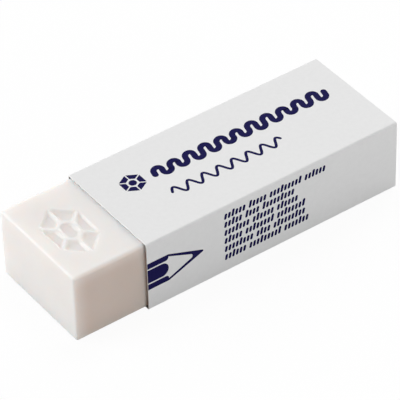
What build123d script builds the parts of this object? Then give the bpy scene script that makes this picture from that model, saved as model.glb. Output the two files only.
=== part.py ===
from build123d import *
import os
from math import cos, radians, tan

# Millimetres. +X runs along the block towards its covered end, +Z is up, and the
# origin is on the table under the middle of the whole object.

# The block of white vinyl
BLOCK_LENGTH = 65.0
BLOCK_WIDTH = 21.3
BLOCK_HEIGHT = 13.5
LONG_EDGE_RADIUS = 0.6  # the moulded edges along the block
END_EDGE_RADIUS = 0.45  # the cut edges round each end face

# The folded card sleeve
BOARD = 0.2  # thickness of the card
EXPOSED_LENGTH = 13.75  # how far the working end stands out of the sleeve
NEAR_GAP = 0.4  # air between the block and the side at -Y
FAR_GAP = 0.05  # air between the block and the glued flap at +Y
TOP_GAP = 0.02  # air between the block and the top panel
FOLD_RADIUS = 0.4  # outside of a fold
CREASE_RADIUS = 0.2  # inside of a fold
FLAP_HEIGHT = 10.0  # how high the glued flap reaches inside the +Y side
FLAP_END_ANGLE = 15.0  # how far the flap's ends slope in from square
SEAM_HEIGHT = 0.6  # height of the outer panel's cut edge at +Y

# The sunken emblem on the working end: a flattened hexagon of six facets round a core
EMBLEM_RADIUS = 6.4  # centre to corner, across the block
EMBLEM_SQUASH = 0.65  # its size along the block against that of a regular hexagon
EMBLEM_FROM_END = 6.3  # the emblem's centre, from the front face
EMBLEM_ASIDE = -0.4  # the emblem's centre, from the middle of the block's width
EMBLEM_DEPTH = 0.4
FACET_INNER_RADIUS = 3.3
FACET_RIDGE = 0.9  # ridge left standing between two facets
CORE_WIDTH = 3.6  # the sunken oblong in the middle, across the block
CORE_LENGTH = 2.3
EMBLEM_CORNER_RADIUS = 0.25
WALL_DRAFT = 25.0  # slope of the sunken walls
FACETS = 6

SLEEVE_LENGTH = BLOCK_LENGTH - EXPOSED_LENGTH
SLEEVE_WIDTH = 3 * BOARD + NEAR_GAP + BLOCK_WIDTH + FAR_GAP
SLEEVE_HEIGHT = 2 * BOARD + BLOCK_HEIGHT + TOP_GAP
FRONT_X = -BLOCK_LENGTH / 2
BACK_X = BLOCK_LENGTH / 2
SLEEVE_FRONT_X = FRONT_X + EXPOSED_LENGTH
NEAR_Y = -SLEEVE_WIDTH / 2
FAR_Y = SLEEVE_WIDTH / 2
BLOCK_NEAR_Y = NEAR_Y + BOARD + NEAR_GAP
BLOCK_MIDDLE_Y = BLOCK_NEAR_Y + BLOCK_WIDTH / 2
BLOCK_TOP_Z = BOARD + BLOCK_HEIGHT


def corners_near(section, points):
    """The vertices of a flat section that lie at the given (y, z) points."""
    picked = []
    for y, z in points:
        place = Vector(y, z, 0)
        picked.append(section.vertices().sort_by_distance(place)[0])
    return picked


def facet_outline(index):
    """One sunken facet of the emblem, between two corners of the hexagon."""
    half_turn = radians(180 / FACETS)
    outer = EMBLEM_RADIUS * cos(half_turn)
    inner = FACET_INNER_RADIUS * cos(half_turn)
    ridge = FACET_RIDGE / 2 / cos(half_turn)
    half_outer = outer * tan(half_turn) - ridge
    half_inner = inner * tan(half_turn) - ridge
    corners = []
    for out, side in ((outer, -half_outer), (outer, half_outer), (inner, half_inner), (inner, -half_inner)):
        corner = Vector(out, side, 0).rotate(Axis.Z, index * 360 / FACETS)
        corners.append((corner.X * EMBLEM_SQUASH, corner.Y))
    outline = Polygon(*corners, align=None)
    return fillet(outline.vertices(), EMBLEM_CORNER_RADIUS)


def emblem_pockets():
    """The volumes that the emblem takes out of the block's top."""
    centre = Pos(FRONT_X + EMBLEM_FROM_END, BLOCK_MIDDLE_Y + EMBLEM_ASIDE, BLOCK_TOP_Z)
    outlines = [facet_outline(index) for index in range(FACETS)]
    outlines.append(SlotOverall(CORE_WIDTH, CORE_LENGTH, rotation=90))
    pockets = [extrude(outline, amount=-EMBLEM_DEPTH, taper=WALL_DRAFT) for outline in outlines]
    return [centre * pocket for pocket in pockets]


def make_block():
    """A straight block with moulded long edges, crisp cut ends and a sunken emblem."""
    section = RectangleRounded(BLOCK_WIDTH, BLOCK_HEIGHT, LONG_EDGE_RADIUS)
    middle_z = BOARD + BLOCK_HEIGHT / 2
    across = Plane(origin=(FRONT_X, BLOCK_MIDDLE_Y, middle_z), x_dir=(0, 1, 0), z_dir=(1, 0, 0))
    block = extrude(across * section, amount=BLOCK_LENGTH)
    ends = block.faces().sort_by(Axis.X)
    block = fillet(ends[0].edges() + ends[-1].edges(), END_EDGE_RADIUS)
    for pocket in emblem_pockets():
        block -= pocket
    return block


def sleeve_section():
    """The card seen from the end: flap, bottom, near side, top and far side in one strip."""
    outside = [
        (FAR_Y, SEAM_HEIGHT),
        (FAR_Y, SLEEVE_HEIGHT),
        (NEAR_Y, SLEEVE_HEIGHT),
        (NEAR_Y, 0),
        (FAR_Y - BOARD, 0),
        (FAR_Y - BOARD, SEAM_HEIGHT),
    ]
    inside = [
        (FAR_Y - 2 * BOARD, BOARD),
        (FAR_Y - 2 * BOARD, FLAP_HEIGHT),
        (FAR_Y - BOARD, FLAP_HEIGHT),
        (FAR_Y - BOARD, SLEEVE_HEIGHT - BOARD),
        (NEAR_Y + BOARD, SLEEVE_HEIGHT - BOARD),
        (NEAR_Y + BOARD, BOARD),
    ]
    solid = Polygon(*outside, align=None)
    solid = fillet(corners_near(solid, outside[1:5]), FOLD_RADIUS)
    hollow = Polygon(*inside, align=None)
    hollow = fillet(corners_near(hollow, inside[:1] + inside[3:]), CREASE_RADIUS)
    return solid - hollow


def flap_end_cut(end_x, inward):
    """The wedge off one sloping end of the flap; inward is +1 at the front and -1 at the back."""
    base_z = BOARD + CREASE_RADIUS
    reach = (FLAP_HEIGHT - base_z) * tan(radians(FLAP_END_ANGLE))
    flap_face = Plane(origin=(0, FAR_Y - BOARD, 0), x_dir=(1, 0, 0), z_dir=(0, -1, 0))
    wedge = Polygon(
        (end_x, base_z),
        (end_x + inward * reach, FLAP_HEIGHT),
        (end_x, FLAP_HEIGHT),
        align=None,
    )
    return extrude(flap_face * wedge, amount=BOARD, dir=(0, -1, 0))


def make_sleeve():
    """A strip of card folded round the block and glued inside the far side, open at both ends."""
    across = Plane(origin=(SLEEVE_FRONT_X, 0, 0), x_dir=(0, 1, 0), z_dir=(1, 0, 0))
    sleeve = extrude(across * sleeve_section(), amount=SLEEVE_LENGTH)
    sleeve -= flap_end_cut(SLEEVE_FRONT_X, 1)
    sleeve -= flap_end_cut(BACK_X, -1)
    return sleeve


os.makedirs("parts", exist_ok=True)
export_step(make_block(), "parts/eraser_block.step")
export_step(make_sleeve(), "parts/card_sleeve.step")
print("sleeve", SLEEVE_LENGTH, SLEEVE_WIDTH, SLEEVE_HEIGHT)
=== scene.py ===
import math

import bpy
from bpy.props import FloatProperty, FloatVectorProperty, PointerProperty
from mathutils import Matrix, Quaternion, Vector


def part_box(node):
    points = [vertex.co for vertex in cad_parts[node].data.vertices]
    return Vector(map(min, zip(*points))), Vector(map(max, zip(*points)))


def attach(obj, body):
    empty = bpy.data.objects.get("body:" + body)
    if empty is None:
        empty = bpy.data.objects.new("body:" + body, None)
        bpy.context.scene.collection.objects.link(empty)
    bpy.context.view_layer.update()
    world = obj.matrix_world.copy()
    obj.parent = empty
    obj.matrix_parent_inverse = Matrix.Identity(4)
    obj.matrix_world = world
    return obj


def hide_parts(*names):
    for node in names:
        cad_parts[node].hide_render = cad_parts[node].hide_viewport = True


bl_info = {
    "name": "Sleeved eraser",
    "version": (1, 0, 0),
    "blender": (4, 5, 0),
    "location": "3D View > Sidebar > Eraser",
    "description": "Makes a vinyl block eraser, its folded card sleeve with print, and a plain studio",
    "category": "Object",
}

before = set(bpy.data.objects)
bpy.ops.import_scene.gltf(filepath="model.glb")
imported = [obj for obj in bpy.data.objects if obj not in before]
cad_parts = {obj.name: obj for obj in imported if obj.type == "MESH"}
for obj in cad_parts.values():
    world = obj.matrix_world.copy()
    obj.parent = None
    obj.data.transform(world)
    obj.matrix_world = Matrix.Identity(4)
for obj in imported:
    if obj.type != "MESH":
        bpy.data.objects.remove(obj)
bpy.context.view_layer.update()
BLOCK_LOW, BLOCK_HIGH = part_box("eraser_block")
SLEEVE_LOW, SLEEVE_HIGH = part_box("card_sleeve")

MM = 0.001
BOARD = BLOCK_LOW.z - SLEEVE_LOW.z  # the block lies on the sleeve's floor, one card thick
QUARTER = math.pi / 2
SHARP_ANGLE = math.radians(40)  # edges that turn more than this are shaded sharp


# Lists of values and points


ROUNDING = 1e-6  # share of a step that arithmetic may add to a whole number of steps


def spaced(start, end, step):
    """Evenly spaced values from start to end, at most step apart."""
    count = max(1, math.ceil(abs(end - start) / step - ROUNDING))
    return [start + (end - start) * i / count for i in range(count + 1)]


def held_flat(values, margin):
    """The same values with one more just inside each end, so that a flat stays flat up to its edge."""
    inward = math.copysign(margin, values[-1] - values[0])
    return [values[0], values[0] + inward, *values[1:-1], values[-1] - inward, values[-1]]


def dense_between(start, end, low, high, fine, coarse):
    """Values from start to end, close together only from low to high."""
    before = spaced(start, low, coarse)[:-1]
    after = spaced(high, end, coarse)[1:]
    return before + spaced(low, high, fine) + after


def turn(start_angle, end_angle, count):
    """The unit directions of a round corner, without its two ends."""
    step = (end_angle - start_angle) / count
    angles = [start_angle + step * i for i in range(1, count)]
    return [(math.cos(a), math.sin(a)) for a in angles]


def smooth_step(t):
    """0 below 0, 1 above 1, and a soft S between."""
    t = min(1.0, max(0.0, t))
    return t * t * (3 - 2 * t)


def soft_max(a, b, softness):
    """The larger of two values, rounded where they are nearly the same."""
    h = max(0.0, softness - abs(a - b)) / softness
    return max(a, b) + h * h * softness / 4


# Mesh objects


def make_object(name, points, faces, materials, slots=None):
    """A mesh object at the origin; slots holds each face's material number."""
    mesh = bpy.data.meshes.new(name)
    mesh.from_pydata(points, [], faces)
    mesh.update()
    for material in materials:
        mesh.materials.append(material)
    if slots:
        mesh.polygons.foreach_set("material_index", slots)
    mesh.shade_smooth()
    made = bpy.data.objects.new(name, mesh)
    bpy.context.scene.collection.objects.link(made)
    return made


# Node materials


NOISE_LOW, NOISE_HIGH = 0.3, 0.7  # nearly all of a noise texture lies between these


class Recipe:
    """One node material under construction, with its shader and a store of node helpers."""

    def __init__(self, name):
        self.material = bpy.data.materials.new(name)
        self.material.use_nodes = True
        self.nodes = self.material.node_tree.nodes
        self.links = self.material.node_tree.links
        self.shader = self.nodes["Principled BSDF"]
        self.place = self.nodes.new("ShaderNodeTexCoord").outputs["Object"]

    def set(self, **values):
        """Sets the shader's own sockets; spaces in their names are written as underscores."""
        for key, value in values.items():
            self.shader.inputs[key.replace("_", " ")].default_value = value

    def noise(self, scale, detail=2.0, roughness=0.5, stretch=(1, 1, 1)):
        """Noise from 0 to 1 in the piece's own space, stretched along an axis by a small number."""
        mapping = self.nodes.new("ShaderNodeMapping")
        mapping.inputs["Scale"].default_value = stretch
        self.links.new(self.place, mapping.inputs["Vector"])
        noise = self.nodes.new("ShaderNodeTexNoise")
        noise.inputs["Scale"].default_value = scale
        noise.inputs["Detail"].default_value = detail
        noise.inputs["Roughness"].default_value = roughness
        self.links.new(mapping.outputs["Vector"], noise.inputs["Vector"])
        return noise.outputs["Fac"]

    def ramp(self, value, first, last, low=NOISE_LOW, high=NOISE_HIGH):
        """A colour that goes from first to last as the value goes from low to high."""
        ramp = self.nodes.new("ShaderNodeValToRGB")
        stops = ramp.color_ramp.elements
        stops[0].position = low
        stops[1].position = high
        stops[0].color = (*first, 1)
        stops[1].color = (*last, 1)
        self.links.new(value, ramp.inputs["Fac"])
        return ramp.outputs["Color"]

    def axis(self, vector, name):
        """One of a vector's three values."""
        split = self.nodes.new("ShaderNodeSeparateXYZ")
        self.links.new(vector, split.inputs["Vector"])
        return split.outputs[name]

    def eased(self, value, start, end, low, high):
        """A value that goes softly from low to high as the given one goes from start to end."""
        ease = self.nodes.new("ShaderNodeMapRange")
        ease.interpolation_type = "SMOOTHSTEP"
        ease.inputs["From Min"].default_value = start
        ease.inputs["From Max"].default_value = end
        ease.inputs["To Min"].default_value = low
        ease.inputs["To Max"].default_value = high
        self.links.new(value, ease.inputs["Value"])
        return ease.outputs["Result"]

    def product(self, first, second):
        """Two values multiplied."""
        both = self.nodes.new("ShaderNodeMath")
        both.operation = "MULTIPLY"
        self.links.new(first, both.inputs[0])
        self.links.new(second, both.inputs[1])
        return both.outputs["Value"]

    def mixed(self, share, first, last):
        """The first colour where the share is 0, and the last where it is 1."""
        mix = self.nodes.new("ShaderNodeMix")
        mix.data_type = "RGBA"
        mix.inputs["A"].default_value = (*first, 1)
        mix.inputs["B"].default_value = (*last, 1)
        self.links.new(share, mix.inputs["Factor"])
        return mix.outputs["Result"]

    def spread(self, noise, low, high):
        """Noise stretched from low to high."""
        span = self.nodes.new("ShaderNodeMapRange")
        span.inputs["From Min"].default_value = NOISE_LOW
        span.inputs["From Max"].default_value = NOISE_HIGH
        span.inputs["To Min"].default_value = low
        span.inputs["To Max"].default_value = high
        self.links.new(noise, span.inputs["Value"])
        return span.outputs["Result"]

    def mottled(self, colour, noise, low, high):
        """A colour made darker and lighter by noise, with factors from low to high."""
        scaled = self.nodes.new("ShaderNodeVectorMath")
        scaled.operation = "SCALE"
        self.links.new(colour, scaled.inputs["Vector"])
        self.links.new(self.spread(noise, low, high), scaled.inputs["Scale"])
        return scaled.outputs["Vector"]

    def bump(self, value, depth, under=None):
        """A relief of that depth in metres, laid over another one."""
        bump = self.nodes.new("ShaderNodeBump")
        bump.inputs["Strength"].default_value = 1.0
        bump.inputs["Distance"].default_value = depth
        self.links.new(value, bump.inputs["Height"])
        if under:
            self.links.new(under, bump.inputs["Normal"])
        return bump.outputs["Normal"]

    def join(self, output, socket):
        """Links an output to one of the shader's sockets."""
        self.links.new(output, self.shader.inputs[socket])


def shade(colour, factor):
    """A colour made darker or lighter."""
    return tuple(min(1.0, channel * factor) for channel in colour)


PAINTED_SHADE_TURN = (-0.4, -1.0)  # the normal's Y where the near side's painted shade starts and where it is full
PAINTED_SHADE_AT_EDGES = 0.5  # how much of the near side's painted shade is left at its lit edges, as a painted glow there


def vinyl_material(settings):
    """Matt creamy vinyl that light enters, so that its lit edges glow warm on the dark side."""
    recipe = Recipe("white_vinyl")
    # Painted shade: surfaces facing the near side (-Y) get a darker, warmer colour, eased back toward
    # the vinyl's own colour near the top and the front end as a painted glow.
    normal = recipe.nodes["Texture Coordinate"].outputs["Normal"]
    facing = recipe.eased(recipe.axis(normal, "Y"), *PAINTED_SHADE_TURN, 0, 1)
    below = recipe.eased(
        recipe.axis(recipe.place, "Z"), BLOCK_HIGH.z, BLOCK_HIGH.z - settings.painted_edge_glow, PAINTED_SHADE_AT_EDGES, 1)
    behind = recipe.eased(
        recipe.axis(recipe.place, "X"), BLOCK_LOW.x, BLOCK_LOW.x + settings.painted_edge_glow, PAINTED_SHADE_AT_EDGES, 1)
    share = recipe.product(facing, recipe.product(below, behind))
    body = recipe.mixed(share, tuple(settings.vinyl_colour), tuple(settings.near_side_painted_shade))
    recipe.join(recipe.mottled(body, recipe.noise(170, detail=3), 0.985, 1.01), "Base Color")
    recipe.set(
        Subsurface_Weight=1.0,
        Subsurface_Radius=(1.0, 0.8, 0.7),
        Subsurface_Scale=settings.glow_depth,
        IOR=1.5,
        Specular_IOR_Level=0.4,
    )
    recipe.join(recipe.spread(recipe.noise(900), 0.39, 0.47), "Roughness")
    waves = recipe.bump(recipe.noise(140, detail=1), 0.05 * MM)
    grain = recipe.bump(recipe.noise(4200, detail=3), 0.006 * MM, waves)
    recipe.join(grain, "Normal")
    return recipe.material


def coated_card_material(settings):
    """The sleeve's smooth printed side: white, faintly mottled, with a low sheen."""
    recipe = Recipe("coated_card")
    colour = tuple(settings.card_colour)
    mottle = recipe.noise(1300, detail=4)
    recipe.join(recipe.ramp(mottle, shade(colour, 0.985), shade(colour, 1.01)), "Base Color")
    recipe.set(IOR=1.5, Specular_IOR_Level=0.35)
    recipe.join(recipe.spread(recipe.noise(2500), 0.42, 0.52), "Roughness")
    sag = recipe.bump(recipe.noise(70, detail=1), 0.06 * MM)
    fibres = recipe.bump(recipe.noise(5000, detail=2, stretch=(0.35, 1, 1)), 0.003 * MM, sag)
    recipe.join(fibres, "Normal")
    return recipe.material


def raw_card_material(settings):
    """The sleeve's uncoated inside: duller and greyer, and darker still as painted shade for the gap
    beside the block, with a visible felt of fibres.
    """
    recipe = Recipe("raw_card")
    colour = tuple(settings.raw_card_and_gap_shade_colour)
    fibres = recipe.noise(3800, detail=4, roughness=0.7, stretch=(0.3, 1, 1))
    recipe.join(recipe.ramp(fibres, shade(colour, 0.93), shade(colour, 1.05)), "Base Color")
    recipe.set(Roughness=0.85, Specular_IOR_Level=0.3)
    recipe.join(recipe.bump(fibres, 0.012 * MM), "Normal")
    return recipe.material


def cut_card_material(settings):
    """The card's cut edges: bright, lighter than bare card as a painted highlight, with thin layers
    along the board.
    """
    recipe = Recipe("cut_card_edge")
    colour = tuple(settings.cut_edge_and_highlight_colour)
    layers = recipe.noise(9000, detail=3, roughness=0.6, stretch=(1, 0.2, 0.2))
    recipe.join(recipe.ramp(layers, shade(colour, 0.94), shade(colour, 1.04)), "Base Color")
    recipe.set(Roughness=0.8, Specular_IOR_Level=0.3)
    recipe.join(recipe.bump(layers, 0.01 * MM), "Normal")
    return recipe.material


def ink_material(settings):
    """Flat navy printing ink, a little uneven in density."""
    recipe = Recipe("navy_ink")
    colour = tuple(settings.ink_colour)
    density = recipe.noise(2600, detail=3)
    recipe.join(recipe.ramp(density, shade(colour, 0.9), shade(colour, 1.15), high=0.75), "Base Color")
    recipe.set(IOR=1.5, Specular_IOR_Level=0.04)
    recipe.join(recipe.spread(recipe.noise(3200), 0.45, 0.55), "Roughness")
    recipe.join(recipe.bump(recipe.noise(5000), 0.002 * MM), "Normal")
    return recipe.material


def seen_rays(nodes, links):
    """1 for the camera's own rays, and 1 for those together with rays off gloss and through glass."""
    path = nodes.new("ShaderNodeLightPath")
    direct = path.outputs["Is Camera Ray"]
    seen = direct
    for other in ("Is Glossy Ray", "Is Transmission Ray"):
        total = nodes.new("ShaderNodeMath")
        total.operation = "ADD"
        total.use_clamp = True
        links.new(seen, total.inputs[0])
        links.new(path.outputs[other], total.inputs[1])
        seen = total.outputs["Value"]
    return direct, seen


SHADOW_REACH = 0.09  # metres round the object where the table is least white
WHITE_REACH = 0.35  # metres from which it is plain white


def floor_material(settings):
    """A white table: it takes a soft shadow by the object, and is plain white further out."""
    recipe = Recipe("white_table")
    nodes, links = recipe.nodes, recipe.links
    direct, seen = seen_rays(nodes, links)
    shades = [(level,) * 3 for level in (settings.floor_shade, settings.floor_seen)]
    recipe.join(recipe.mixed(direct, *shades), "Base Color")
    recipe.set(Roughness=0.9, Specular_IOR_Level=0.0)
    distance = nodes.new("ShaderNodeVectorMath")
    distance.operation = "LENGTH"
    links.new(recipe.place, distance.inputs[0])
    glow = recipe.eased(distance.outputs["Value"], SHADOW_REACH, WHITE_REACH, settings.floor_glow, 1)
    white = nodes.new("ShaderNodeEmission")
    white.inputs["Strength"].default_value = 1.0
    mix = nodes.new("ShaderNodeMixShader")
    links.new(recipe.product(seen, glow), mix.inputs["Fac"])
    links.new(recipe.shader.outputs["BSDF"], mix.inputs[1])
    links.new(white.outputs["Emission"], mix.inputs[2])
    links.new(mix.outputs["Shader"], nodes["Material Output"].inputs["Surface"])
    return recipe.material


# The vinyl block


class BlockSettings(bpy.types.PropertyGroup):
    """Sizes and colour of the vinyl block."""

    edge_radius: FloatProperty(
        name="Long edges", description="Radius of the moulded edges along the block",
        default=0.6 * MM, min=0.1 * MM, unit="LENGTH", precision=5)
    end_radius: FloatProperty(
        name="Cut edges", description="Radius of the edges round each end face",
        default=0.45 * MM, min=0.05 * MM, unit="LENGTH", precision=5)
    emblem_radius: FloatProperty(
        name="Emblem radius", description="From the emblem's centre to its corner across the block",
        default=6.4 * MM, unit="LENGTH", precision=5)
    emblem_squash: FloatProperty(
        name="Emblem squash", description="Its size along the block against a regular hexagon's",
        default=0.65, min=0.1, max=1)
    emblem_from_end: FloatProperty(
        name="Emblem place", description="From the front face to the emblem's centre",
        default=6.3 * MM, unit="LENGTH", precision=5)
    emblem_aside: FloatProperty(
        name="Emblem aside", description="From the middle of the block's width to the emblem's centre",
        default=-0.4 * MM, unit="LENGTH", precision=5)
    emblem_depth: FloatProperty(
        name="Emblem depth", description="How far the facets are sunk",
        default=0.4 * MM, unit="LENGTH", precision=5)
    facet_inner: FloatProperty(
        name="Facet inner radius", description="From the emblem's centre to a facet's inner corner",
        default=3.3 * MM, unit="LENGTH", precision=5)
    facet_ridge: FloatProperty(
        name="Facet ridge", description="Width of the ridge between two facets",
        default=0.9 * MM, unit="LENGTH", precision=5)
    core_width: FloatProperty(
        name="Core width", description="Width of the sunken oblong in the middle, across the block",
        default=3.6 * MM, unit="LENGTH", precision=5)
    core_length: FloatProperty(
        name="Core length", description="Length of that oblong along the block",
        default=2.3 * MM, unit="LENGTH", precision=5)
    wall_width: FloatProperty(
        name="Wall width", description="How wide the soft slope into a sunken area is",
        default=0.8 * MM, unit="LENGTH", precision=5)
    lip_height: FloatProperty(
        name="Lip height", description="How high the pressed-up lip round a sunken area stands",
        default=0.03 * MM, unit="LENGTH", precision=5)
    fine_step: FloatProperty(
        name="Emblem mesh step", description="Spacing of the mesh over the emblem",
        default=0.11 * MM, min=0.05 * MM, unit="LENGTH", precision=5)
    glow_depth: FloatProperty(
        name="Glow depth", description="How far light travels inside the vinyl",
        default=2.8 * MM, unit="LENGTH", precision=5)
    # Painted glow: how far from the top and front edges the near side's painted shade is eased back.
    painted_edge_glow: FloatProperty(
        name="Edge glow", description="How far the near side's lit edges stay lighter",
        default=3.0 * MM, min=0.1 * MM, unit="LENGTH", precision=5)
    vinyl_colour: FloatVectorProperty(
        name="Vinyl colour", description="Colour of the vinyl", subtype="COLOR",
        size=3, min=0, max=1, default=(0.865, 0.832, 0.808))
    # Painted shade: the near side's darker, yellower colour stands in for shade and warm light through
    # the vinyl.
    near_side_painted_shade: FloatVectorProperty(
        name="Near side painted shade", description="Painted shade of the near side, darker and yellower than the rest",
        subtype="COLOR", size=3, min=0, max=1, default=(0.72, 0.613, 0.545))


CORNER_STEPS = 6  # strips round each long edge
END_STEPS = 4  # strips round each end edge
END_MARGIN = 1.3  # how far in an end face's own ring of points lies, in end radii
BLOCK_STEP = 1.6 * MM  # mesh spacing away from the emblem
FLAT_MARGIN = 0.15 * MM  # where a flat's support line lies beside a rounded edge
FACETS = 6
FACET_SOFTNESS = 0.5 * MM  # how much a facet's corners are rounded
LIP_PLACE = 0.6  # from the middle of a sunken area's wall out to its lip, in wall widths
LIP_SPREAD = 0.55  # how wide that lip is, in wall widths
EMBLEM_MARGIN = 1.3  # how far the fine mesh goes on past the emblem, in wall widths


def emblem_height(across, along, settings):
    """The block's top over the emblem, against its flat, at a place from the emblem's centre."""
    half_turn = math.pi / FACETS
    core_side = max(0.0, abs(across) - (settings.core_width - settings.core_length) / 2)
    core = math.hypot(core_side, along) - settings.core_length / 2
    along /= settings.emblem_squash
    distance = math.hypot(across, along)
    angle = math.atan2(across, along)
    folded = abs((angle + half_turn) % (2 * half_turn) - half_turn)
    out = distance * math.cos(folded)
    side = distance * math.sin(folded)
    outer = settings.emblem_radius * math.cos(half_turn)
    inner = settings.facet_inner * math.cos(half_turn)
    to_side = side * math.cos(half_turn) - out * math.sin(half_turn) + settings.facet_ridge / 2
    facet = soft_max(soft_max(out - outer, inner - out, FACET_SOFTNESS), to_side, FACET_SOFTNESS)
    beyond = min(facet, core) / settings.wall_width
    sunk = settings.emblem_depth * smooth_step(0.5 - beyond)
    lip = settings.lip_height * math.exp(-((beyond - LIP_PLACE) / LIP_SPREAD) ** 2)
    return lip - sunk


def block_ring(settings, top_places):
    """The block's section as (y, z, normal y, normal z), at the centres of its rounded corners."""
    radius = settings.edge_radius
    middle_y = (BLOCK_LOW.y + BLOCK_HIGH.y) / 2
    low_y, high_y = BLOCK_LOW.y + radius, BLOCK_HIGH.y - radius
    low_z, high_z = BLOCK_LOW.z + radius, BLOCK_HIGH.z - radius
    up = held_flat(spaced(low_z, high_z, BLOCK_STEP), FLAT_MARGIN)
    under = held_flat(spaced(high_y, low_y, BLOCK_STEP), FLAT_MARGIN)
    ring = [(middle_y + place, high_z, 0, 1) for place in top_places]
    ring += [(high_y, high_z, y, z) for y, z in turn(QUARTER, 0, CORNER_STEPS)]
    ring += [(high_y, z, 1, 0) for z in reversed(up)]
    ring += [(high_y, low_z, y, z) for y, z in turn(0, -QUARTER, CORNER_STEPS)]
    ring += [(y, low_z, 0, -1) for y in under]
    ring += [(low_y, low_z, y, z) for y, z in turn(-QUARTER, -2 * QUARTER, CORNER_STEPS)]
    ring += [(low_y, z, -1, 0) for z in up]
    ring += [(low_y, high_z, y, z) for y, z in turn(2 * QUARTER, QUARTER, CORNER_STEPS)]
    return ring


def block_stations(settings, body_places):
    """Places along the block as (x, inset): both ends' rounded edges, and the body between."""
    radius = settings.end_radius
    rounded = [QUARTER * i / END_STEPS for i in range(END_STEPS, 0, -1)]
    end = [(0.0, END_MARGIN * radius)]
    end += [(radius * (1 - math.sin(a)), radius * (1 - math.cos(a))) for a in rounded]
    front = [(BLOCK_LOW.x + x, inset) for x, inset in end]
    back = [(BLOCK_HIGH.x - x, inset) for x, inset in reversed(end)]
    return front + [(x, 0.0) for x in body_places] + back


def make_block(settings):
    """One skin over the whole block, fine where the emblem is and coarse elsewhere."""
    emblem_x = BLOCK_LOW.x + settings.emblem_from_end
    emblem_y = settings.emblem_aside
    margin = EMBLEM_MARGIN * settings.wall_width
    wide = settings.emblem_radius + margin
    long = settings.emblem_radius * settings.emblem_squash + margin
    half_flat = (BLOCK_HIGH.y - BLOCK_LOW.y) / 2 - settings.edge_radius
    across = dense_between(
        -half_flat, half_flat, emblem_y - wide, emblem_y + wide, settings.fine_step, BLOCK_STEP)
    body = dense_between(
        BLOCK_LOW.x + settings.end_radius, BLOCK_HIGH.x - settings.end_radius,
        emblem_x - long, emblem_x + long, settings.fine_step, BLOCK_STEP)
    across = held_flat(across, FLAT_MARGIN)
    body = held_flat(body, FLAT_MARGIN)
    ring = block_ring(settings, across)
    points = []
    for x, inset in block_stations(settings, body):
        for index, (y, z, normal_y, normal_z) in enumerate(ring):
            size = settings.edge_radius - inset
            lift = 0.0
            if index < len(across) and abs(x - emblem_x) < long:
                lift = emblem_height(across[index] - emblem_y, x - emblem_x, settings)
            points.append((x, y + normal_y * size, z + normal_z * size + lift))
    around = len(ring)
    rows = len(points) // around
    faces = [tuple(range(around)), tuple(reversed(range((rows - 1) * around, rows * around)))]
    for row in range(rows - 1):
        for index in range(around):
            here = row * around + index
            following = row * around + (index + 1) % around
            faces.append((here, here + around, following + around, following))
    return make_object("vinyl_block", points, faces, [vinyl_material(settings)])


class ERASER_OT_block(bpy.types.Operator):
    """Make the vinyl block with its sunken emblem"""

    bl_idname = "eraser.block"
    bl_label = "Vinyl block"

    def execute(self, context):
        block = make_block(context.scene.eraser_block)
        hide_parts("eraser_block")
        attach(block, "block")
        return {"FINISHED"}


# The card sleeve


class SleeveSettings(bpy.types.PropertyGroup):
    """Sizes and colours of the folded card."""

    fold_radius: FloatProperty(
        name="Fold radius", description="Radius of a fold's outside",
        default=0.4 * MM, min=0.21 * MM, unit="LENGTH", precision=5)
    flap_height: FloatProperty(
        name="Flap height", description="How high the glued flap reaches inside the far side",
        default=10.0 * MM, unit="LENGTH", precision=5)
    flap_angle: FloatProperty(
        name="Flap end angle", description="How far the flap's ends slope in from square",
        default=math.radians(15), unit="ROTATION")
    seam_height: FloatProperty(
        name="Seam height", description="Height of the outer panel's cut edge on the far side",
        default=0.6 * MM, unit="LENGTH", precision=5)
    glue_line: FloatProperty(
        name="Glue line", description="Gap between the flap and the panel that it is glued to",
        default=0.01 * MM, unit="LENGTH", precision=6)
    card_colour: FloatVectorProperty(
        name="Coated side", description="Colour of the card's coated outside", subtype="COLOR",
        size=3, min=0, max=1, default=(0.82, 0.82, 0.82))
    # The raw side's own grey, set darker as painted shade so that the gap between card and block looks
    # dark.
    raw_card_and_gap_shade_colour: FloatVectorProperty(
        name="Raw side", description="Colour of the card's uncoated inside", subtype="COLOR",
        size=3, min=0, max=1, default=(0.4, 0.38, 0.35))
    # The cut edge's own white, raised to a painted highlight so that the top panel's front edge reads as
    # a bright line.
    cut_edge_and_highlight_colour: FloatVectorProperty(
        name="Cut edge", description="Colour of the card's cut edges", subtype="COLOR",
        size=3, min=0, max=1, default=(0.96, 0.95, 0.94))


COATED, RAW, CUT = 0, 1, 2  # the card's material slots
PANEL_STEP = 1.7 * MM  # mesh spacing on the flat panels
FOLD_STEPS = 6  # strips round each fold


def card_strip(settings):
    """The folded strip from the flap's free edge to the seam, as (y, z, normal y, normal z) outside."""
    radius = settings.fold_radius
    low_y, high_y = SLEEVE_LOW.y, SLEEVE_HIGH.y
    low_z, high_z = SLEEVE_LOW.z, SLEEVE_HIGH.z
    flap_y = high_y - BOARD - settings.glue_line

    def panel(start, end):
        return held_flat(spaced(start, end, PANEL_STEP), FLAT_MARGIN)

    def fold(centre_y, centre_z, start, end):
        directions = turn(start, end, FOLD_STEPS)
        return [(centre_y + radius * y, centre_z + radius * z, y, z) for y, z in directions]

    strip = [(flap_y, z, 1, 0) for z in panel(settings.flap_height, low_z + radius)]
    strip += fold(flap_y - radius, low_z + radius, 0, -QUARTER)
    strip += [(y, low_z, 0, -1) for y in panel(flap_y - radius, low_y + radius)]
    strip += fold(low_y + radius, low_z + radius, -QUARTER, -2 * QUARTER)
    strip += [(low_y, z, -1, 0) for z in panel(low_z + radius, high_z - radius)]
    strip += fold(low_y + radius, high_z - radius, 2 * QUARTER, QUARTER)
    strip += [(y, high_z, 0, 1) for y in panel(low_y + radius, high_y - radius)]
    strip += fold(high_y - radius, high_z - radius, QUARTER, 0)
    strip += [(high_y, z, 1, 0) for z in panel(high_z - radius, settings.seam_height)]
    return strip


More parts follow.
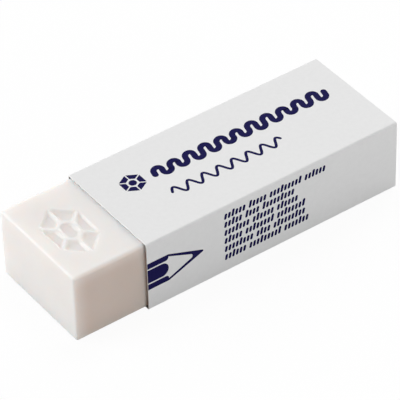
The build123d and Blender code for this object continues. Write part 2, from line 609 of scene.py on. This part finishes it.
def make_sleeve(settings):
    """A closed sheet: its coated outside, its raw inside, and the cut edges all round."""
    strip = card_strip(settings)
    flap_count = 1 + next(i for i, place in enumerate(strip) if place[2:] != (1, 0))
    slope = math.tan(settings.flap_angle)
    flap_foot = SLEEVE_LOW.z + settings.fold_radius
    lengthwise = spaced(0, 1, PANEL_STEP / (SLEEVE_HIGH.x - SLEEVE_LOW.x))
    points = []
    for index, (y, z, normal_y, normal_z) in enumerate(strip):
        inset = slope * max(0.0, z - flap_foot) if index < flap_count else 0.0
        start, end = SLEEVE_LOW.x + inset, SLEEVE_HIGH.x - inset
        for share in lengthwise:
            x = start + (end - start) * share
            points.append((x, y, z))
            points.append((x, y - normal_y * BOARD, z - normal_z * BOARD))
    row = 2 * len(lengthwise)
    last_strip, last_step = len(strip) - 1, len(lengthwise) - 1

    def corner(strip_index, step, inside):
        return strip_index * row + 2 * step + inside

    faces, slots = [], []
    for i in range(last_strip):
        for k in range(last_step):
            square = (i, k), (i, k + 1), (i + 1, k + 1), (i + 1, k)
            faces.append(tuple(corner(a, b, 0) for a, b in reversed(square)))
            faces.append(tuple(corner(a, b, 1) for a, b in square))
            slots += [COATED, RAW]
        for k, backwards in ((0, False), (last_step, True)):
            edge = [corner(i, k, 0), corner(i + 1, k, 0), corner(i + 1, k, 1), corner(i, k, 1)]
            faces.append(tuple(reversed(edge)) if backwards else tuple(edge))
            slots.append(CUT)
    for k in range(last_step):
        for i, backwards in ((0, True), (last_strip, False)):
            edge = [corner(i, k, 0), corner(i, k + 1, 0), corner(i, k + 1, 1), corner(i, k, 1)]
            faces.append(tuple(reversed(edge)) if backwards else tuple(edge))
            slots.append(CUT)
    materials = [make(settings) for make in (coated_card_material, raw_card_material, cut_card_material)]
    sleeve = make_object("folded_sleeve", points, faces, materials, slots)
    sleeve.data.set_sharp_from_angle(angle=SHARP_ANGLE)
    return sleeve


class ERASER_OT_sleeve(bpy.types.Operator):
    """Make the folded card sleeve with its glued flap"""

    bl_idname = "eraser.sleeve"
    bl_label = "Card sleeve"

    def execute(self, context):
        sleeve = make_sleeve(context.scene.eraser_sleeve)
        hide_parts("card_sleeve")
        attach(sleeve, "sleeve")
        return {"FINISHED"}


# The print on the sleeve


class PrintSettings(bpy.types.PropertyGroup):
    """Places, sizes and colour of the printed shapes."""

    ink_colour: FloatVectorProperty(
        name="Ink", description="Colour of the printing ink", subtype="COLOR",
        size=3, min=0, max=1, default=(0.006, 0.0045, 0.062))
    ink_height: FloatProperty(
        name="Ink film", description="How far the ink stands on the card",
        default=0.012 * MM, unit="LENGTH", precision=6)
    badge_radius: FloatProperty(
        name="Badge radius", description="Centre to corner of the printed hexagon",
        default=2.35 * MM, unit="LENGTH", precision=5)
    bold_width: FloatProperty(
        name="Bold stroke", description="Width of the bold scribble's line",
        default=1.08 * MM, unit="LENGTH", precision=5)
    thin_width: FloatProperty(
        name="Thin stroke", description="Width of the thin wave's line",
        default=0.5 * MM, unit="LENGTH", precision=5)
    tick_width: FloatProperty(
        name="Tick stroke", description="Width of one short tick in the rows",
        default=0.5 * MM, unit="LENGTH", precision=5)
    tick_slant: FloatProperty(
        name="Tick slant", description="How far the ticks and the scribble lean",
        default=math.radians(12), unit="ROTATION")


class InkSheet:
    """A thin ink film on one panel, built up shape by shape from flat outlines."""

    def __init__(self, place, height):
        self.place = place
        self.height = height
        self.points = []
        self.faces = []

    def add(self, outline):
        """One closed shape, its outline given anticlockwise in the panel's own plane."""
        start, count = len(self.points), len(outline)
        self.points += [self.place(u, v, -self.height) for u, v in outline]
        self.points += [self.place(u, v, self.height) for u, v in outline]
        self.faces.append(tuple(start + i for i in reversed(range(count))))
        self.faces.append(tuple(start + count + i for i in range(count)))
        for i in range(count):
            j = (i + 1) % count
            self.faces.append((start + i, start + j, start + count + j, start + count + i))

    def add_stroke(self, line, width):
        """One round-ended line of even width along a list of points."""
        sections = stroke_sections(line, width)
        start = len(self.points)
        for left, right in sections:
            for u, v in (left, right):
                self.points.append(self.place(u, v, -self.height))
                self.points.append(self.place(u, v, self.height))
        for i in range(len(sections) - 1):
            a, b = start + 4 * i, start + 4 * (i + 1)
            self.faces.append((a + 1, a + 3, b + 3, b + 1))
            self.faces.append((a, b, b + 2, a + 2))
            self.faces.append((a, a + 1, b + 1, b))
            self.faces.append((a + 2, b + 2, b + 3, a + 3))
        a, b = start, start + 4 * (len(sections) - 1)
        self.faces.append((a, a + 2, a + 3, a + 1))
        self.faces.append((b, b + 1, b + 3, b + 2))

    def finish(self, name, material):
        """The printed piece, riding with the sleeve."""
        made = make_object(name, self.points, self.faces, [material])
        made.data.set_sharp_from_angle(angle=SHARP_ANGLE)
        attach(made, "sleeve")
        return made


CAP_STEPS = 5  # sections in a stroke's rounded end
CAP_START = 0.25  # share of a step by which the first one is in from the very tip


def stroke_sections(line, width):
    """Left and right edge points along a line, with the rounded caps at both ends."""
    half = width / 2
    path = [Vector(point) for point in line]
    first = (path[1] - path[0]).normalized()
    last = (path[-1] - path[-2]).normalized()
    angles = [QUARTER * (1 - (i + CAP_START) / CAP_STEPS) for i in range(CAP_STEPS)]
    sections = [(path[0] - first * half * math.sin(a), first, half * math.cos(a)) for a in angles]
    for i, point in enumerate(path):
        before = path[max(0, i - 1)]
        after = path[min(len(path) - 1, i + 1)]
        sections.append((point, (after - before).normalized(), half))
    for a in reversed(angles):
        sections.append((path[-1] + last * half * math.sin(a), last, half * math.cos(a)))
    edges = []
    for point, along, reach in sections:
        left = Vector((-along.y, along.x)) * reach
        edges.append((tuple(point + left), tuple(point - left)))
    return edges


def on_top(u, v, lift):
    """A place on the top panel, u along the sleeve and v across it."""
    return (u, v, SLEEVE_HIGH.z + lift)


def on_near_side(u, v, lift):
    """A place on the near side, u along the sleeve and v upwards."""
    return (u, SLEEVE_LOW.y - lift, v)


def arc(centre_u, centre_v, radius, start, end, count):
    """Points along an arc, both ends included; the angles are in degrees."""
    angles = [math.radians(start + (end - start) * i / count) for i in range(count + 1)]
    return [(centre_u + radius * math.cos(a), centre_v + radius * math.sin(a)) for a in angles]


def lean(line, slant):
    """A line leant to the right about its own lowest level."""
    foot = min(v for u, v in line)
    return [(u + (v - foot) * math.tan(slant), v) for u, v in line]


BADGE_CENTRE = (-11.5 * MM, 2.95 * MM)
BADGE_RIDGE, BADGE_INNER, BADGE_CORE = 0.1, 0.51, 0.3  # shares of the badge's radius
BADGE_CORE_POINTS = 24
SCRIBBLE_START = -8.1 * MM
SCRIBBLE_LOW, SCRIBBLE_HIGH = 1.0 * MM, 4.35 * MM
SCRIBBLE_TURN = 0.8 * MM  # radius of each turn of the scribble's line
SCRIBBLE_STROKES = 23
SCRIBBLE_WOBBLE = 0.12 * MM  # how unevenly the strokes end, as by hand
WOBBLE_STEP = 2.3  # radians of that unevenness from one stroke to the next
TURN_STEPS = 12  # steps round each turn
WAVE_START, WAVE_END = -7.7 * MM, 14.6 * MM
WAVE_MIDDLE = -2.95 * MM
WAVE_HEIGHT = 1.0 * MM  # from its middle to a crest
WAVE_LENGTH = 3.0 * MM
WAVE_STEP = 0.12 * MM


def add_badge(ink, settings):
    """The block's emblem again, printed small: six facets round a core."""
    centre_u, centre_v = BADGE_CENTRE
    half_turn = math.pi / FACETS
    ridge = BADGE_RIDGE * settings.badge_radius
    outer = settings.badge_radius * math.cos(half_turn)
    inner = BADGE_INNER * outer
    for index in range(FACETS):
        corners = []
        for out, sign in ((outer, -1), (outer, 1), (inner, 1), (inner, -1)):
            side = sign * (out * math.tan(half_turn) - ridge / 2 / math.cos(half_turn))
            angle = 2 * half_turn * index
            u = out * math.cos(angle) - side * math.sin(angle)
            v = out * math.sin(angle) + side * math.cos(angle)
            corners.append((centre_u + u, centre_v + v))
        ink.add(corners)
    core = arc(centre_u, centre_v, BADGE_CORE * settings.badge_radius, 0, 360, BADGE_CORE_POINTS)
    ink.add(core[:-1])


def scribble_line(settings):
    """A bold scribble: upright strokes joined by round turns, leaning to the right."""
    half = settings.bold_width / 2
    line = []
    for index in range(SCRIBBLE_STROKES):
        u = SCRIBBLE_START + half + 2 * SCRIBBLE_TURN * index
        wobble = SCRIBBLE_WOBBLE * math.sin(WOBBLE_STEP * index)
        low = SCRIBBLE_LOW + half + SCRIBBLE_TURN + wobble
        high = SCRIBBLE_HIGH - half - SCRIBBLE_TURN + wobble
        up = index % 2 == 0
        line += [(u, low if up else high), (u, high if up else low)]
        if index + 1 < SCRIBBLE_STROKES:
            level, turns = (high, (180, 0)) if up else (low, (180, 360))
            line += arc(u + SCRIBBLE_TURN, level, SCRIBBLE_TURN, *turns, TURN_STEPS)[1:-1]
    return lean(line, settings.tick_slant)


def wave_line():
    """An even wave, drawn with a thin line."""
    line = []
    for u in spaced(WAVE_START, WAVE_END, WAVE_STEP):
        phase = (u - WAVE_START) / WAVE_LENGTH * 2 * math.pi
        line.append((u, WAVE_MIDDLE + WAVE_HEIGHT * math.sin(phase)))
    return line


def shared_ink(settings):
    """The printing ink, made once for both panels."""
    return bpy.data.materials.get("navy_ink") or ink_material(settings)


class ERASER_OT_top_print(bpy.types.Operator):
    """Print the badge, the scribble and the wave on the sleeve's top"""

    bl_idname = "eraser.top_print"
    bl_label = "Top print"

    def execute(self, context):
        settings = context.scene.eraser_print
        material = shared_ink(settings)
        badge = InkSheet(on_top, settings.ink_height)
        add_badge(badge, settings)
        badge.finish("printed_badge", material)
        scribble = InkSheet(on_top, settings.ink_height)
        scribble.add_stroke(scribble_line(settings), settings.bold_width)
        scribble.finish("printed_scribble", material)
        wave = InkSheet(on_top, settings.ink_height)
        wave.add_stroke(wave_line(), settings.thin_width)
        wave.finish("printed_wave", material)
        return {"FINISHED"}


PENCIL_AXIS = 7.1 * MM  # height of the drawn pencil's middle on the near side
PENCIL_HALF = 2.78 * MM  # half its height
PENCIL_SHOULDER = -14.6 * MM  # where its cone starts
PENCIL_TIP = -7.7 * MM
PENCIL_GROOVE = 0.28 * MM  # the bare line between two bands of the body
PENCIL_BAND = 1.35 * MM  # half the middle band's height
BAND_CORNER = 0.6 * MM  # radius of the outer bands' rounded corners
BAND_STEPS, BAND_CORNER_STEPS = 14, 7  # steps round the middle band's end, and round those corners
PENCIL_OUTLINE = 0.46 * MM  # the cone's printed rim, measured upright
TIP_HALF = 0.12 * MM  # half the height of the blunt tip
TIP_BEVEL = (0.25 * MM, 0.26 * MM)  # where the tip's bevel starts: behind the tip, and from the axis
LEAD_LENGTH = 2.2 * MM
LEAD_BULGE = 0.35 * MM  # the arc at the back of the lead is centred this far behind it
LEAD_ARC = 62  # degrees of that arc each side of the axis
LEAD_SQUASH = 0.7  # how much it is flattened
LEAD_STEPS = 8
ROW_START = -3.4 * MM
TOP_ROW_FOOT = 11.25 * MM  # height of the highest row's foot
ROW_PITCH = 1.74 * MM
TICK_HEIGHT = 1.2 * MM
TALL_TICK = 1.5 * MM
TALL_EVERY = 5  # about one tick in this many is tall
TICK_PITCH = 0.74 * MM
GROUP_GAP = 0.55 * MM
# how many ticks each group has, row by row
TICK_ROWS = ((6, 5, 9, 6), (5, 4, 9), (7, 6, 6), (5, 8, 8), (8, 4, 9), (6, 9, 7))


def add_pencil(ink):
    """A drawn pencil, cut off by the sleeve's front edge: three bands, a cone and its lead."""
    front = SLEEVE_LOW.x
    axis, half = PENCIL_AXIS, PENCIL_HALF
    band_low, band_high = axis - PENCIL_BAND, axis + PENCIL_BAND
    bulge = arc(PENCIL_SHOULDER - PENCIL_BAND, axis, PENCIL_BAND, -90, 90, BAND_STEPS)
    ink.add([(front, band_low), *bulge, (front, band_high)])
    for sign in (1, -1):
        inner = axis + sign * (PENCIL_BAND + PENCIL_GROOVE)
        outer = axis + sign * half
        corner_u, corner_v = PENCIL_SHOULDER - BAND_CORNER, inner + sign * BAND_CORNER
        corner = arc(corner_u, corner_v, BAND_CORNER, -sign * 90, 0, BAND_CORNER_STEPS)
        band = [(front, inner), *corner, (PENCIL_SHOULDER, outer), (front, outer)]
        ink.add(band if sign > 0 else list(reversed(band)))
    taper = LEAD_LENGTH / (PENCIL_TIP - PENCIL_SHOULDER)
    inner_half = half - PENCIL_OUTLINE
    lead_half = half * taper - PENCIL_OUTLINE
    lead_back = PENCIL_TIP - LEAD_LENGTH
    hollow = arc(lead_back - LEAD_BULGE, axis, lead_half, LEAD_ARC, -LEAD_ARC, LEAD_STEPS)
    hollow = [(lead_back + (u - lead_back) * LEAD_SQUASH, v) for u, v in hollow]
    bevel_u, bevel_half = PENCIL_TIP - TIP_BEVEL[0], TIP_BEVEL[1]
    ink.add([
        (PENCIL_SHOULDER, axis - half),
        (bevel_u, axis - bevel_half),
        (PENCIL_TIP, axis - TIP_HALF),
        (PENCIL_TIP, axis + TIP_HALF),
        (bevel_u, axis + bevel_half),
        (PENCIL_SHOULDER, axis + half),
        (PENCIL_SHOULDER, axis + inner_half),
        *hollow,
        (PENCIL_SHOULDER, axis - inner_half),
    ])


def tick_height(row, count, index):
    """Mostly short, with the tall ones at places that differ from group to group."""
    return TALL_TICK if (2 * index + count + row) % TALL_EVERY == 0 else TICK_HEIGHT


def add_tick_rows(ink, settings):
    """Six left-aligned rows of short leaning ticks in groups."""
    half = settings.tick_width / 2
    for row, groups in enumerate(TICK_ROWS):
        foot = TOP_ROW_FOOT - ROW_PITCH * row
        u = ROW_START + half
        for count in groups:
            for index in range(count):
                tick = [(u, foot + half), (u, foot + tick_height(row, count, index) - half)]
                ink.add_stroke(lean(tick, settings.tick_slant), settings.tick_width)
                u += TICK_PITCH
            u += GROUP_GAP


class ERASER_OT_side_print(bpy.types.Operator):
    """Print the pencil and the rows of ticks on the sleeve's near side"""

    bl_idname = "eraser.side_print"
    bl_label = "Side print"

    def execute(self, context):
        settings = context.scene.eraser_print
        material = shared_ink(settings)
        pencil = InkSheet(on_near_side, settings.ink_height)
        add_pencil(pencil)
        pencil.finish("printed_pencil", material)
        rows = InkSheet(on_near_side, settings.ink_height)
        add_tick_rows(rows, settings)
        rows.finish("printed_tick_rows", material)
        return {"FINISHED"}


# The studio


class StageSettings(bpy.types.PropertyGroup):
    """Camera, lamps and floor."""

    azimuth: FloatProperty(
        name="Azimuth", description="Camera angle round the object; zero looks along +Y",
        default=math.radians(-34.923), unit="ROTATION")
    elevation: FloatProperty(
        name="Elevation", description="Camera angle above the table",
        default=math.radians(40.2), unit="ROTATION")
    roll: FloatProperty(
        name="Roll", description="Camera turn about its own line of sight",
        default=math.radians(-1.674), unit="ROTATION")
    distance: FloatProperty(
        name="Distance", description="From the aimed point to the camera",
        default=514.19 * MM, unit="LENGTH", precision=4)
    aim: FloatVectorProperty(
        name="Aim", description="The point in the middle of the picture", subtype="XYZ",
        size=3, default=(-0.63 * MM, -0.55 * MM, 7.0 * MM))
    lens: FloatProperty(
        name="Lens", description="Focal length in millimetres on a 36 mm sensor",
        default=279.1, min=1.0)
    sky: FloatProperty(
        name="Sky", description="Level of the even light from all round", default=0.16, min=0.0)
    floor_shade: FloatProperty(
        name="Floor shade", description="How much light the floor gives back", default=0.7, min=0, max=1)
    floor_glow: FloatProperty(
        name="Floor whiteness", description="Share of plain white in the floor as it is seen",
        default=0.94, min=0, max=1)
    floor_seen: FloatProperty(
        name="Floor shade in view", description="How light the floor is where the camera sees it",
        default=1.0, min=0, max=1)


FLOOR_SIZE = 6.0
SENSOR = 36.0
# name, azimuth, elevation in degrees, distance, width, height in metres, light level on a facing surface
SOFTBOXES = (
    ("key_softbox", 130, 66, 1.1, 0.6, 0.6, 0.38),
    ("low_softbox", 118, 12, 0.9, 0.3, 0.3, 0.42),
    ("left_softbox", -122, 25, 0.8, 0.55, 0.55, 0.78),
    ("front_fill", 14, 14, 0.34, 0.2, 0.2, 0.37),
)


def direction(azimuth, elevation):
    """The unit direction from the object to a camera or lamp at these angles."""
    flat = math.cos(elevation)
    return Vector((math.sin(azimuth) * flat, -math.cos(azimuth) * flat, math.sin(elevation)))


def add_camera(settings):
    """The camera at the photograph's angle."""
    back = direction(settings.azimuth, settings.elevation)
    data = bpy.data.cameras.new("camera")
    data.sensor_width = SENSOR
    data.sensor_fit = "HORIZONTAL"
    data.lens = settings.lens
    data.clip_start = 0.01
    data.clip_end = 20
    camera = bpy.data.objects.new("camera", data)
    bpy.context.scene.collection.objects.link(camera)
    camera.location = Vector(settings.aim) + back * settings.distance
    camera.rotation_mode = "QUATERNION"
    level = (-back).to_track_quat("-Z", "Y")
    camera.rotation_quaternion = level @ Quaternion((0, 0, 1), settings.roll)
    bpy.context.scene.camera = camera


def add_softbox(name, azimuth, elevation, distance, width, height, level):
    """A rectangular lamp aimed at the object; a level of 1 lights a facing white surface to white."""
    toward = direction(math.radians(azimuth), math.radians(elevation))
    data = bpy.data.lights.new(name, "AREA")
    data.shape = "RECTANGLE"
    data.size = width
    data.size_y = height
    data.energy = level * (math.pi * distance) ** 2
    lamp = bpy.data.objects.new(name, data)
    bpy.context.scene.collection.objects.link(lamp)
    lamp.location = toward * distance
    lamp.rotation_mode = "QUATERNION"
    lamp.rotation_quaternion = (-toward).to_track_quat("-Z", "Y")


def add_floor(settings):
    """The table top that the object stands on."""
    half = FLOOR_SIZE / 2
    corners = [(-half, -half, 0), (half, -half, 0), (half, half, 0), (-half, half, 0)]
    floor = make_object("white_floor", corners, [(0, 1, 2, 3)], [floor_material(settings)])


def add_world(settings):
    """Even light from all round, which the camera and reflections see as white."""
    world = bpy.data.worlds.new("studio")
    bpy.context.scene.world = world
    world.use_nodes = True
    nodes, links = world.node_tree.nodes, world.node_tree.links
    _, seen = seen_rays(nodes, links)
    strength = nodes.new("ShaderNodeMapRange")
    strength.inputs["To Min"].default_value = settings.sky
    strength.inputs["To Max"].default_value = 1.0
    links.new(seen, strength.inputs["Value"])
    background = nodes["Background"]
    background.inputs["Color"].default_value = (1, 1, 1, 1)
    links.new(strength.outputs["Result"], background.inputs["Strength"])


class ERASER_OT_stage(bpy.types.Operator):
    """Set up the camera, the white table, the lamps and the surroundings"""

    bl_idname = "eraser.stage"
    bl_label = "Studio"

    def execute(self, context):
        settings = context.scene.eraser_stage
        add_camera(settings)
        add_floor(settings)
        add_world(settings)
        for softbox in SOFTBOXES:
            add_softbox(*softbox)
        context.scene.view_settings.view_transform = "Standard"
        return {"FINISHED"}


# Registration and the whole run


class ERASER_PT_sidebar(bpy.types.Panel):
    """Buttons for each step, with the settings that it reads"""

    bl_idname = "ERASER_PT_sidebar"
    bl_label = "Eraser"
    bl_space_type = "VIEW_3D"
    bl_region_type = "UI"
    bl_category = "Eraser"

    def draw(self, context):
        for step, group in STEPS:
            box = self.layout.box()
            box.operator(step)
            settings = getattr(context.scene, group)
            for name in settings.__annotations__:
                box.prop(settings, name)


STEPS = (
    ("eraser.stage", "eraser_stage"),
    ("eraser.block", "eraser_block"),
    ("eraser.sleeve", "eraser_sleeve"),
    ("eraser.top_print", "eraser_print"),
    ("eraser.side_print", "eraser_print"),
)
SETTINGS = (
    ("eraser_block", BlockSettings),
    ("eraser_sleeve", SleeveSettings),
    ("eraser_print", PrintSettings),
    ("eraser_stage", StageSettings),
)
OPERATORS = (
    ERASER_OT_block,
    ERASER_OT_sleeve,
    ERASER_OT_top_print,
    ERASER_OT_side_print,
    ERASER_OT_stage,
    ERASER_PT_sidebar,
)


def register():
    """Adds the settings, the operators and the panel."""
    for name, group in SETTINGS:
        bpy.utils.register_class(group)
        setattr(bpy.types.Scene, name, PointerProperty(type=group))
    for cls in OPERATORS:
        bpy.utils.register_class(cls)


def unregister():
    """Takes them away again."""
    for cls in reversed(OPERATORS):
        bpy.utils.unregister_class(cls)
    for name, group in reversed(SETTINGS):
        delattr(bpy.types.Scene, name)
        bpy.utils.unregister_class(group)


def main():
    """Makes the whole scene."""
    register()
    bpy.ops.eraser.stage()
    bpy.ops.eraser.block()
    bpy.ops.eraser.sleeve()
    bpy.ops.eraser.top_print()
    bpy.ops.eraser.side_print()


if __name__ == "__main__":
    main()
